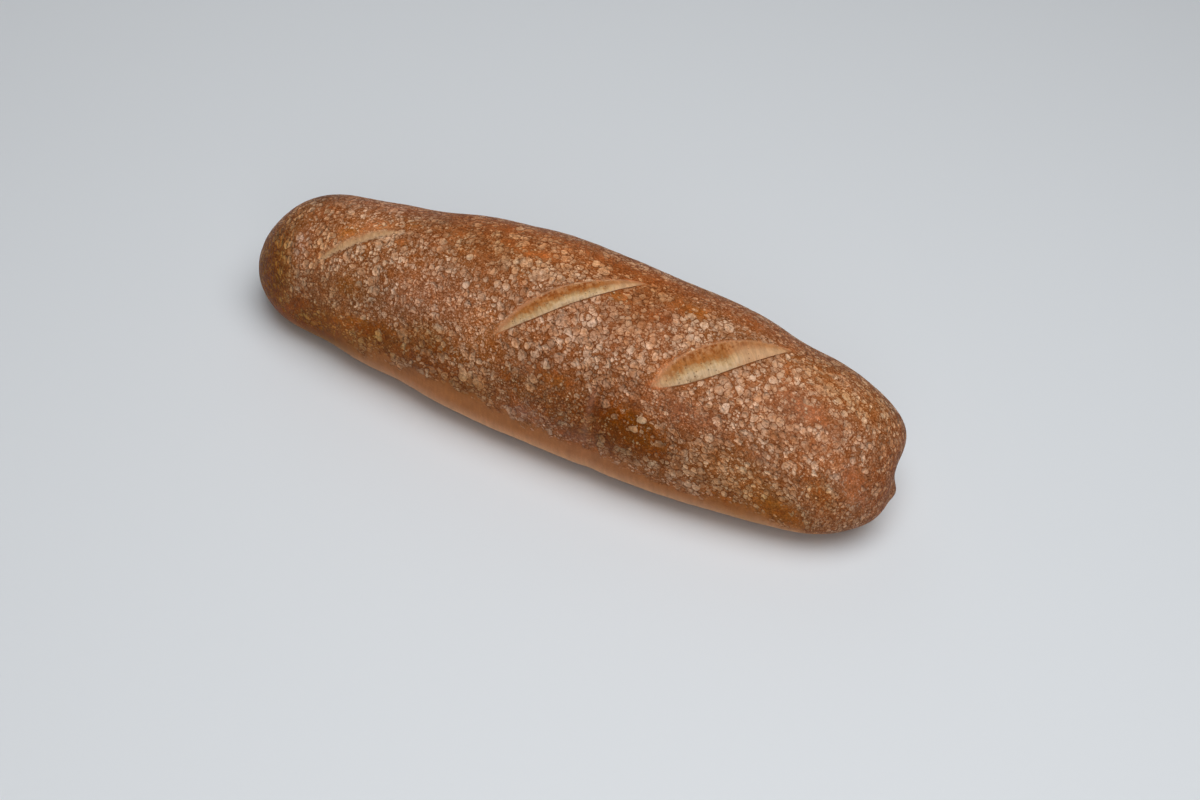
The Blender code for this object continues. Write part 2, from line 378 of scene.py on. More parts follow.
# Soft hills and dips left by the crumb under the crust, and the folds seen on its front.
skinRelief = {
    # hills, dimples and crumples: size, height, seed
    "hills": [(26.0, 0.35, 1), (8.0, 0.15, 2), (3.4, 0.07, 5)],
    # folds: x and arc at both ends, width, height
    "folds": [
        (26, 49, 32, 59, 1.6, -0.7), (32.5, 59, 34, 82, 1.5, -1.2), (30, 60, 31, 80, 1.0, 0.5),
        (118, 73, 116, 86, 0.8, 0.35), (116, 86, 109, 92, 0.8, 0.3), (104, 82, 107, 90, 0.7, 0.2),
        (-69, 66, -63, 74, 0.9, 0.35), (-27, 48, -27, 62, 2.2, -0.3), (-3, 60, 4, 64, 1.5, -0.3),
        (56, 49, 48, 60, 2.2, -0.35), (-66, -14, -64, 12, 3.5, -0.5),
    ],
}


def foldHeights(x, arc):
    height = np.zeros_like(x)
    for x0, arc0, x1, arc1, width, rise in skinRelief["folds"]:
        run = np.array([x1 - x0, arc1 - arc0], float)
        length = float(np.hypot(*run))
        way = run / length
        along = (x - x0) * way[0] + (arc - arc0) * way[1]
        across = (x - x0) * way[1] - (arc - arc0) * way[0]
        share = np.clip(along / length, 0.0, 1.0)
        beyond = along - share * length
        bulge = 0.35 + 0.65 * np.sin(math.pi * share)  # lower at its ends
        height += rise * bulge * np.exp(-(across**2 + beyond**2) / (2 * width**2))
    return height


# Smooth noise from -1 to 1, read at another place for each seed.
def noiseAt(points, size, seed):
    shift = Vector((seed * 17.3, seed * 5.1, seed * 11.7))
    return np.array([noise.noise(Vector(p) / size + shift) for p in points.tolist()])


# Where the crust is bare and dark or speckled fine, placed against the photo: x, arc, reach along, reach
# around, bareness, darkness, fineness. The back carries patches of the same kinds. In this table and the
# next, what a row leaves out is nought.
crustPatches = [
    # left end and the part beyond the first cut
    # the darkness low on the left end is painted shade under it
    (-143, 5, 6, 12, 0.7, 0.1), (-125, 18, 6, 4, 0.6), (-112, 45, 13, 7, 0.65, 0.35, 0.5),
    (-137, 57, 8, 5, 0.8, 0.8, 0.2), (-113, 65, 22, 6, 0.85, 0.35), (-95, 64, 12, 6, 0.7, 0.5),
    (-66, 2, 7, 10, 0.7, 0.15, 0.3), (-90, 16, 3.2, 3.2, 1.0, 0.1), (-128, 76, 20, 5, 0.6, 0.5),
    (-90, 2, 5, 4, 0.7, 0.15, 0.2), (-119, 14, 7, 4.5, 0.6, 0, 0.1), (-107, 7, 9, 4.5, 0.7, 0, 0.1),
    (-52, -12, 12, 5, 0.6, 0.15, 0.2), (-164, 30, 10, 34, 0.1, 0.55, 0.2), (-150, 66, 12, 10, 0.5, 0.9),
    (-72, 70, 12, 5, 0.6, 0.5), (-80, 62, 10, 4, 0.5, 0.3),
    # middle
    (-27, 0, 8, 4, 0.9, 0.2), (-18, 0, 5, 3, 0.7, 0.1), (-41, -1, 7, 5, 0.6, 0.15),
    (-46, 10, 11, 6, 0.5, 0.05, 0.4), (24, 6.5, 8, 4, 1.3, 0.25), (-24, 15, 6, 6, 0.6, 0, 0.3),
    (-26, 51, 4, 9, 0.6, 0.2, 0.4), (9, 57, 16, 4.5, 0.9, 0.4, 0.2), (50, 67, 18, 12, 1.0, 1.1),
    (14, 69, 22, 9, 0.7, 0.5, 0.6), (-14, 65, 9, 8, 0.6, 0.5, 0.5), (-50, 64, 14, 4, 0.7, 0.7, 0.2),
    (-55, 76, 20, 5, 0.3, 0.5, -0.6), (-2, 78, 16, 6, 0.5, 0.6, 0.5), (-20, -18, 34, 6, 0.7, 0.1),
    (20, -14, 22, 5, 0.6, 0.2, 0.2), (27, 84, 18, 6, 0.7, 0.5, 0.6), (33, 42, 5, 14, 0.4, 0, 0.5),
    # right of the middle
    (52, -3, 7, 6, 1.0, 0.5), (63, -5, 4.5, 6, 0.9, 0.2), (45, 9, 6, 5, 0.8, 0.4),
    (87, -15, 5, 4, 0.9, 0.6), (70, -19, 36, 5, 0.4, 0.1, 0.5), (129, 19, 14, 5.5, 1.0, 0.05, 0.1),
    (160, 34, 8, 10, 1.0, 0.2, 0.4), (144, 49, 12, 5, 0.6, 0.5, 0.2), (130, 73, 16, 8, 1.1, 0.3),
    (76, 50, 22, 6, 0.7, 0.35, 0.9), (68, 73, 10, 7, 0.4, 0.5, -0.3), (56, 42, 8, 6, 0.5, 0.05, 0.8),
    (170, 20, 5, 30, 0.2, 0.4, 0.4), (113, 6, 5, 14, 0.5, 0, 0.3), (105, 64, 22, 12, -0.1, -0.35),
    (-38, 50, 12, 8, -0.1, -0.2, 0.4), (-112, 26, 26, 16, 0, -0.25, 0.2), (135, -2, 30, 14, 0, -0.2),
    (113, 52, 8, 4, 0.6, 0.1, 0.5), (104, 83, 14, 5, 0.9, 0.3),
    # how finely each stretch blistered
    (-62, 42, 34, 20, 0, 0, 0.9), (-125, 45, 22, 14, 0, 0, 0.5), (150, 8, 22, 24, 0, 0, 0.4),
    (-105, 8, 24, 12, 0, 0, 0.3), (105, 32, 20, 16, 0, 0, -0.5), (20, 25, 30, 22, -0.15, 0, -0.6),
    (-20, 3, 30, 12, 0, 0, -0.5), (95, 72, 26, 12, -0.2, 0, -0.3),
    # the hidden back
    (0, -45, 16, 9, 0.8, 0.6), (70, -52, 14, 9, 0.9, 0.8), (-60, -50, 20, 8, 0.7, 0.5, 0.2),
    (-110, -40, 14, 8, 0.6, 0.4, 0.3), (120, -48, 16, 8, 0.7, 0.4, 0.4),
    (30, -62, 30, 7, 0.5, 0.6, 0.6),
]
# The sides darker than the top, from the first arc to the second.
darkerSides = {"from": 46.0, "to": 66.0, "dark": 0.3}
# Bare skin beside the cuts: how far it reaches above and below one, and further near the tips, in mm.
cutRims = {"above": 2.4, "below": 0.8, "atTips": 0.8, "tipStart": 0.7, "closedLess": 0.6, "bare": 0.95}
# What olive and rosy stretches do to red, green and blue, and how thickly small pale specks lie.
hueShifts = {"olive": (0.0, -0.05, -0.3), "rosy": (0.0, -0.08, -0.08)}
fewestSpecks = 0.16
# Shifts of hue: x, arc, reaches, redness, painted sheen as a grey haze, olive, pale specks, paleness.
skinHues = [
    (20, 28, 50, 22, 0.6), (14, 34, 30, 13, 0, 0, 0, 0, 0.25), (-15, 4, 26, 10, 0, 0, 0, 0, 0.3),
    (95, 32, 20, 12, 0.3, 0, 0, 0, 0.15), (140, 22, 34, 26, 0.5, 0.3),
    (76, 50, 26, 9, 0.7, 0.5, 0, 0.5, -0.2), (-130, 30, 24, 18, 0.3, 0.3, 0, 0, 0.1),
    (6, 69, 30, 9, 0.1, 0.2, 0.4, 1.1, -0.1), (80, -18, 60, 9, 1.4, 0.1, 0.5),
    (-42, -11, 56, 14, 1.6, 0, 0.7), (-66, 40, 28, 18, 0.4, 0.3, -0.1, 0.2, 0.1),
    (-110, 64, 44, 12, -1.0), (105, 68, 28, 13, -0.2, 0, 1.0), (142, -8, 22, 16, 0.1, 0, 0.8),
    (-160, 40, 12, 40, -1.0, 0, 1.0, 0, -0.2), (-100, -10, 44, 8, 0.5, 0.5, -0.2),
    (22, 83, 22, 5, 0.6, 1.2, 0, 0.2), (116, 52, 9, 5, 0.2, 0.7), (-50, 64, 22, 6, -0.6, 0, 0, 0.4),
    (-108, 69, 20, 3, 0, 0, 0, 0.7, 0.2), (-112, 52, 20, 5, 0.2, 0.3, 0, 0.8),
    (30.8, 70, 1.6, 14, 0.5, 2.4, 0, 0, 0.2), (50, 68, 15, 12, -0.8, 0, 0, 0.1, 0.2),
    (24, 7, 7, 4, -1.0), (0, 58, 20, 5, -0.3, 0.4), (130, 73, 16, 10, -1.0), (52, -2, 14, 8, -0.8),
    (-90, -30, 90, 12, 0.3, 0.2), (66, 10, 11, 18, 0, 0, 0, 0, 0.4),
    (100, 20, 14, 12, 0, 0, 0, 0, 0.12), (-112, 26, 28, 18, 0, 0, 0.2, 0, 0.35),
    (130, -4, 40, 14, 0, 0, 0.1, 0, 0.12), (-164, 47, 14, 26, 0, 0, 4.4), (-136, 80, 18, 8, 0, 0, 1.8),
    (-130, 72, 36, 14, 0.3, 0, 3.0), (48, 75, 22, 10, 0, 0, 0.7), (-32, 80, 24, 7, 0, 0, 0.9),
    (133, 72, 16, 9, 0, 0, 0.8), (-61, 60, 12, 8, 0.4, 0, 1.2), (36, 6, 10, 14, 0, 0, 0.6),
    (-50, 0, 42, 16, 0, 0, 0.5), (26, -11, 30, 12, 1.6, 0, 1.0), (172, 10, 7, 36, 1.4, 0, 0.6),
    (42, 66, 18, 14, 1.2, 0, 0.1), (-42, 14, 12, 7, 1.0, 0, 0.5), (-38, 74, 14, 10, 0.8, 0, 0.4),
    (-137, 3, 9, 9, 1.0, 0, 0.4), (30, 93, 26, 6, 0, 0, -0.7), (-84, 71, 14, 8, 0, 0, 1.6),
    (-7, 81, 13, 7, 0, 0.8, -0.6), (-133, 28, 7, 20, 0.8, 0, 0.7), (-147, 25, 6, 11, 0, 0, -0.8),
    (95, 66, 22, 9, 0, 0, -0.5), (147, 50, 8, 7, 0, 0, 0.8), (112, 90, 12, 6, 0, 0, 0.7),
    (35, 75, 8, 10, 0.4, 0, 0.6), (-108, 64, 12, 6, 0, 0, -0.6, 0.4), (160, 34, 9, 9, 0, 0.3, -0.3),
    (49, 5, 8, 8, 1.0, 0, 0.2), (-77, 10, 9, 8, 0.9, 0, 0.1), (7, 50, 9, 6, 0.9, 0, 0.2),
    (140, -9, 12, 6, 0, 0, -0.7), (-115, 45, 20, 8, 0, 0, 0.5), (38, 5, 16, 10, 1.4, 0, 0.2),
    (153, 56, 10, 10, 0.8, 0, 0.5),
]
# How much lighter or darker each stretch is: partly browning, and partly painted light and shade, lighter
# on the top, darker low on the front and under the left end, and lighter at the very bottom as painted
# light bounced up from the floor. x, arc, reaches, share.
browningAndPaintedShade = [
    (-128, 82, 22, 8, -0.4), (48, 80, 17, 5, -0.22), (-35, 80, 12, 5, -0.16), (-10, 102, 70, 8, 0.22),
    (-56, 91, 26, 5, 0.16), (-147, -10, 10, 8, -0.25), (-112, 8, 14, 14, 0.24), (-106, 62, 14, 7, 0.24),
    (-133, 30, 10, 9, 0.18), (122, 4, 18, 11, 0.18), (138, 38, 14, 16, 0.18), (60, 34, 10, 9, 0.26),
    (108, 66, 16, 8, 0.2), (-36, 46, 9, 12, 0.32), (-66, 38, 18, 7, 0.14), (146, -5, 15, 9, 0.16),
    (-82, -6, 14, 8, -0.14), (51, 41, 8, 6, -0.12), (30, 46, 11, 9, -0.12), (-22, -3, 24, 8, 0.14),
    (165, -20, 9, 7, -0.2), (178, 2, 6, 12, -0.25), (-7, -11, 9, 5, 0.16), (-147, -4, 8, 8, -0.14),
    (-134, 41, 7, 5, -0.1), (-70, 81, 12, 5, -0.14), (105, 31, 8, 6, 0.16), (147, 41, 8, 5, -0.12),
    (147, 60, 8, 6, 0.14), (-147, 60, 9, 7, 0.14), (21, 80, 10, 5, -0.12), (-112, -10, 14, 5, 0.1),
    (35, -20, 8, 5, 0.2), (-35, 12, 14, 6, -0.1), (92, 5, 10, 8, -0.12), (44, 22, 9, 9, 0.14),
    (-114, 70, 14, 6, 0.12), (-22, 60, 8, 6, 0.12), (49, 70, 10, 6, -0.12), (25, 72, 36, 12, -0.14),
    (-2, 50, 12, 6, -0.14), (-119, 33, 12, 6, 0.1), (-147, 24, 8, 10, 0.2), (-77, 30, 9, 8, 0.14),
    (147, 32, 9, 7, 0.16), (105, 20, 8, 6, 0.14), (-161, 2, 8, 8, 0.15), (125, -22, 14, 6, -0.15),
    (-91, 45, 9, 10, -0.12), (0, 80, 12, 5, 0.12), (36, 0, 8, 6, -0.12), (45, 64, 62, 17, -0.05),
    (45, -9, 90, 11, 0.06), (-42, 40, 30, 6, 0.06), (77, 40, 16, 6, 0.07), (128, 19.5, 12, 4.5, -0.09),
    (160, 34, 9, 8, -0.04),
]
# Single big blisters that stand out: x, arc, reach along, reach around, paleness.
blisterSpots = [
    (-37, 73.5, 2.9, 4.2, 0.8), (-28, 75, 3.3, 3.2, 0.45), (38, 60, 2.2, 2.4, 0.4),
    (57, 60.5, 2.6, 2.3, 0.8), (54.5, 66, 2.1, 1.6, 0.8), (46, 68.5, 1.1, 1.3, 0.6),
    (40.5, 79, 1.9, 2.5, 0.6), (-74, 62, 2.8, 3.6, 0.3), (-47, 78, 2.0, 2.2, 0.4),
    (93, 38, 2.1, 2.4, 0.9), (85, 40.5, 1.7, 1.7, 0.9), (107, 36, 1.7, 2.0, 0.8),
    (53, 30, 1.7, 2.5, 0.9), (47, 34, 1.7, 1.6, 0.8), (-40, -8, 2.9, 1.9, 0.8),
    (-33, -5, 2.8, 2.4, 0.4), (10, -5.5, 3.2, 3.0, 0.8), (-9.5, -3.5, 3.0, 2.6, 0.4),
    (-12, -8, 1.9, 1.8, 0.8), (-16, 12, 4.2, 4.0, 0.5), (-26, 7.5, 3.6, 3.2, 0.6),
    (-7, 9, 2.2, 2.0, 0.8), (67.5, 3, 2.2, 2.6, 0.9), (78, -2, 3.0, 2.6, 0.8), (108, 14, 2.1, 2.1, 0.8),
    (64, 18, 1.8, 2.4, 0.9), (23, 44.5, 1.7, 2.3, 0.8), (4, 30, 3.8, 3.6, 0.4),
    (1.5, 37, 2.2, 2.6, 0.4), (18, 35, 4.0, 2.4, 0.5), (-3, 50, 2.0, 1.6, 0.7), (129, 5, 4.0, 2.6, 0.4),
    (-101, 15.5, 4.2, 2.2, 0.8), (-90, 24, 2.0, 2.6, 0.5), (-105, 35, 2.8, 1.8, 0.4),
    (-137, -3, 3.0, 2.6, 0.2), (-126, 3, 2.2, 2.2, 0.8), (32, 25, 2.0, 1.8, 0.7),
    (92, 20, 2.0, 2.4, 0.5), (101, 30, 1.7, 1.8, 0.8), (-86, 54, 2.0, 1.6, 0.7),
    (30, -60, 2.4, 2.4, 0.5), (-50, -60, 2.6, 3.0, 0.3), (95, -55, 2.2, 2.6, 0.6),
]
# Where the blistered crust gives way to the smooth strip low on the front (x and arc), and behind.
sideStrip = {
    "front": [(-175, 62), (-140, 74), (-110, 77), (-70, 82), (-50, 84), (0, 87), (60, 91), (90, 89),
              (100, 84), (125, 84), (150, 80), (175, 62)],
    "back": [(-175, 60), (-140, 71), (-95, 79), (-55, 76), (-10, 84), (35, 79), (80, 86), (125, 78),
             (175, 62)],
    # how softly it starts, how far its edge wanders and frays and on what scale, and how bare it is
    "blend": 7.0, "wander": 6.0, "wanderSize": 14.0, "fray": 5.0, "fraySize": 2.5, "bare": 1.15,
}
# The big blisters' domes, dished in the middle, and the wobble of their edges, in mm.
spotRise = {"height": 0.3, "edge": 1.1, "dish": 0.12, "dishEdge": 1.4,
            "wobble": 1.3, "mostWobble": 0.6, "wobbleSize": 3.0}
farOutside = -9.0  # stands for a place beyond all big blisters


# The sums of so many kinds of amount, each patch with a flatter middle than a bell curve's.
def patchWeights(rows, kinds, x, arc):
    total = np.zeros((kinds,) + x.shape)
    for px, parc, reachX, reachArc, *amounts in rows:
        near = ((x - px) / reachX) ** 2 + ((arc - parc) / reachArc) ** 2
        total[: len(amounts)] += np.array(amounts)[:, None] * np.exp(-(near**1.3))
    return total


def stripShare(points, x, arc):
    wander = noiseAt(points, sideStrip["wanderSize"], 3) * sideStrip["wander"]
    wander += noiseAt(points, sideStrip["fraySize"], 4) * sideStrip["fray"]
    front, back = (np.interp(x, *np.array(sideStrip[side], float).T) for side in ("front", "back"))
    strip = (np.abs(arc) - np.where(arc > 0, front, back) + wander) / sideStrip["blend"] + 0.5
    strip = np.clip(strip, 0.0, 1.0)
    return strip * strip * (3 - 2 * strip)


# The nearest cut: how far inside it, how far across from its lip, how far along it, how closed it
# is and how much of its crumb is plain tan.
def nearestCut(x, arc):
    inside = np.full_like(x, -30.0)  # far outside any cut
    share, along, closed, plain = (np.zeros_like(x) for _ in range(4))
    for slash in slashes:
        place, across = slashPlaces(slash, x, arc)
        lip, sharp = slashBows(slash, place)
        here = slashInside(slash, place, across)
        closer = here > inside
        inside = np.where(closer, here, inside)
        part = np.clip((across + lip) / np.maximum(lip + sharp, 1e-3), -0.5, 1.5)
        part = np.where(part > 0, np.abs(part) ** slash["push"], part)
        share = np.where(closer, part, share)
        along = np.where(closer, place, along)
        closed = np.where(closer, slash["closed"], closed)
        tan = np.clip((place - slash["creamEnd"]) / slashCut["creamBlend"] + 0.5, 0.0, 1.0)
        plain = np.where(closer, tan, plain)
    return inside, share, along, closed, plain


def spotField(points, x, arc):
    depth, tone = np.full_like(x, farOutside), np.zeros_like(x)
    for sx, sarc, reachX, reachArc, pale in blisterSpots:
        far = np.hypot((x - sx) / reachX, (arc - sarc) / reachArc)
        here = (1.0 - far) * 0.5 * (reachX + reachArc)
        tone = np.where(here > depth, pale, tone)
        depth = np.maximum(depth, here)
    wobble = noiseAt(points, spotRise["wobbleSize"], 7) * spotRise["wobble"]
    return depth + np.clip(wobble, -spotRise["mostWobble"], spotRise["mostWobble"]), tone


# The skin laid flat as seen from above, so that round blisters stay round on the sides and ends.
def flatSheet(points):
    core = np.clip(points[:, 0], -loafShape["coreHalfLength"], loafShape["coreHalfLength"])
    away = points - np.stack([core, 0 * core, 0 * core + loafShape["coreHeight"]], axis=-1)
    level = np.hypot(away[:, 0], away[:, 1])
    far = np.arctan2(level, away[:, 2]) * np.linalg.norm(away, axis=-1)
    way = away[:, :2] / np.maximum(level, 1e-6)[:, None]
    return core + far * way[:, 0], far * way[:, 1]


def skinNormals(station, angle, points):
    step = 2e-3
    span = np.clip(station, -1 + 2 * step, 1 - 2 * step)
    lengthwise = crustPoints(span + step, angle) - crustPoints(span - step, angle)
    around = crustPoints(span, angle + step) - crustPoints(span, angle - step)
    normal = np.cross(lengthwise, around)
    size = np.linalg.norm(normal, axis=-1, keepdims=True)
    out = outwardFrom(points)
    normal = np.where(size > 1e-9, normal / np.maximum(size, 1e-9), out)
    normal *= np.sign((normal * out).sum(axis=-1, keepdims=True))
    poles = np.abs(station) > 0.9995  # the rings close to a point there
    normal[poles] = out[poles]
    return normal


def makeLoaf():
    places, faces = makeSkin()
    ring, line = places[:, 0], places[:, 1]
    station = np.interp(ring, np.arange(len(grid["stations"])), grid["stations"])
    angle = np.interp(line, np.arange(len(grid["lines"])), grid["lines"])
    points = crustPoints(station, angle)
    arc = fromTable(grid["arcs"], ring, line)
    x = points[:, 0]
    base = np.clip((points[:, 2] - 0.3) / 3.0, 0.0, 1.0)  # nought on the flat underside
    hills = np.zeros_like(x)
    for size, rise, seed in skinRelief["hills"]:
        hills += rise * noiseAt(points, size, seed)
    bare, dark, fine = patchWeights(crustPatches, 3, x, arc)
    side = np.clip((np.abs(arc) - darkerSides["from"]) / (darkerSides["to"] - darkerSides["from"]), 0.0, 1.0)
    dark = dark + darkerSides["dark"] * side
    red, dull, olive, dots, pale = patchWeights(skinHues, 5, x, arc)
    (shade,) = patchWeights(browningAndPaintedShade, 1, x, arc)
    tint = np.outer(hueShifts["olive"], olive) + np.outer(hueShifts["rosy"], np.maximum(red, 0.0))
    # the tint also carries those tones, with their painted light and shade
    tint = np.exp(tint) * (1.0 + shade)
    inside, share, along, closed, plain = nearestCut(x, arc)
    strip = stripShare(points, x, arc)
    tip = np.clip((np.abs(along) - cutRims["tipStart"]) / (1.0 - cutRims["tipStart"]), 0.0, 1.0)
    reach = np.where(share < 0.5, cutRims["above"], cutRims["below"]) + cutRims["atTips"] * tip
    rim = np.clip((inside + reach) / reach, 0.0, 1.0) * (1.0 - cutRims["closedLess"] * closed)
    cover = 1.0 - bare - cutRims["bare"] * rim - sideStrip["bare"] * strip
    spot, spotTone = spotField(points, x, arc)
    spot = np.where(inside > -0.5, farOutside, spot)
    rise = np.clip(spot / spotRise["edge"], 0.0, 1.0)
    dish = np.clip(spot - spotRise["dishEdge"], 0.0, 1.0)
    spotHeight = spotRise["height"] * (rise * (2 - rise)) - spotRise["dish"] * dish
    height = hills * base + foldHeights(x, arc) + slashHeights(x, arc) + spotHeight
    sheetX, sheetY = flatSheet(points)
    normal = skinNormals(station, angle, points)
    points = points + normal * height[:, None]
    points[:, 2] = np.maximum(points[:, 2], 0.0)
    low, high = (np.array(corner) / mm for corner in startBounds)
    shapeLow, shapeHigh = points.min(axis=0), points.max(axis=0)
    points[:, :2] += 0.5 * (low + high - shapeLow - shapeHigh)[:2]
    mesh = bpy.data.meshes.new("loafCrust")
    mesh.from_pydata((points * mm).tolist(), [], faces)
    fields = {
        "cut": (inside, share, along),
        "skin": (cover, dark, fine),
        "side": (strip, base, dull),
        "sheet": (sheetX, sheetY),
        "crumb": (closed, plain, (dots + fewestSpecks) * (1.0 - strip) * (1.0 - rim)),
        "hue": (olive, pale, red),
        "tint": tint,
        "spot": (spot, spotTone),
    }
    for name, values in fields.items():
        table = np.zeros((len(points), 3), np.float32)
        table[:, : len(values)] = np.stack(values, axis=-1)
        attribute = mesh.attributes.new(name, "FLOAT_VECTOR", "POINT")
        attribute.data.foreach_set("vector", table.ravel())
    girth = np.interp(line, np.arange(len(grid["girth"])), grid["girth"])
    unwrap(mesh, ring / (len(grid["stations"]) - 1), girth)
    mesh.shade_smooth()
    mesh.update()
    loaf = bpy.data.objects.new("loafCrust", mesh)
    bpy.context.scene.collection.objects.link(loaf)
    return loaf


# One rectangle for the whole skin, its seam along the middle of the underside.
def unwrap(mesh, along, around):
    layer = mesh.uv_layers.new(name="OFBake")
    vertices = np.empty(len(mesh.loops), np.int32)
    mesh.loops.foreach_get("vertex_index", vertices)
    starts = np.empty(len(mesh.polygons), np.int32)
    mesh.polygons.foreach_get("loop_start", starts)
    owner = np.searchsorted(starts, np.arange(len(vertices)), side="right") - 1
    u, v = along[vertices], around[vertices]
    highest = np.full(len(starts), -1.0)
    pole = vertices < 2
    np.maximum.at(highest, owner, np.where(pole, -1.0, v))
    v = np.where(~pole & (highest[owner] - v > 0.5), v + 1.0, v)
    total = np.zeros(len(starts))
    count = np.zeros(len(starts))
    np.add.at(total, owner, np.where(pole, 0.0, v))
    np.add.at(count, owner, np.where(pole, 0.0, 1.0))
    v = np.where(pole, (total / np.maximum(count, 1))[owner], v)
    layer.data.foreach_set("uv", np.stack([u, v], axis=-1).astype(np.float32).ravel())


def linear(hexColour):
    parts = [int(hexColour[k : k + 2], 16) / 255.0 for k in (1, 3, 5)]
    return tuple(p / 12.92 if p <= 0.04045 else ((p + 0.055) / 1.055) ** 2.4 for p in parts) + (1.0,)


# Makes the function that adds one node to a tree: it sets the node's settings and colour stops, fills
# or links its inputs, listed in their order or by name or number, and returns an output.
def nodeAdder(tree):
    def add(kind, inputs=(), take=0, stops=(), **settings):
        node = tree.nodes.new("ShaderNode" + kind)
        for number, (position, hexColour) in enumerate(stops):
            elements = node.color_ramp.elements
            stop = elements[number] if number < 2 else elements.new(position)
            stop.position, stop.color = position, linear(hexColour)
        for name, value in settings.items():
            setattr(node, name, value)
        for key, value in inputs.items() if isinstance(inputs, dict) else enumerate(inputs):
            if isinstance(value, bpy.types.NodeSocket):
                tree.links.new(value, node.inputs[key])
            else:
                node.inputs[key].default_value = linear(value) if isinstance(value, str) else value
        return node.outputs[take]

    return add


# Settings that many of the nodes share.
colours = {"data_type": "RGBA"}
soft = {"interpolation_type": "SMOOTHSTEP"}
multiply = {"operation": "MULTIPLY"}
multiplyAdd = {"operation": "MULTIPLY_ADD"}
larger = {"operation": "MAXIMUM"}
scale = {"operation": "SCALE"}
flat = {"voronoi_dimensions": "2D"}
flatWalls = {"voronoi_dimensions": "2D", "feature": "DISTANCE_TO_EDGE"}


def newMaterial(name):
    material = bpy.data.materials.new(name)
    material.use_nodes = True
    return material, material.node_tree, material.node_tree.nodes["Principled BSDF"]


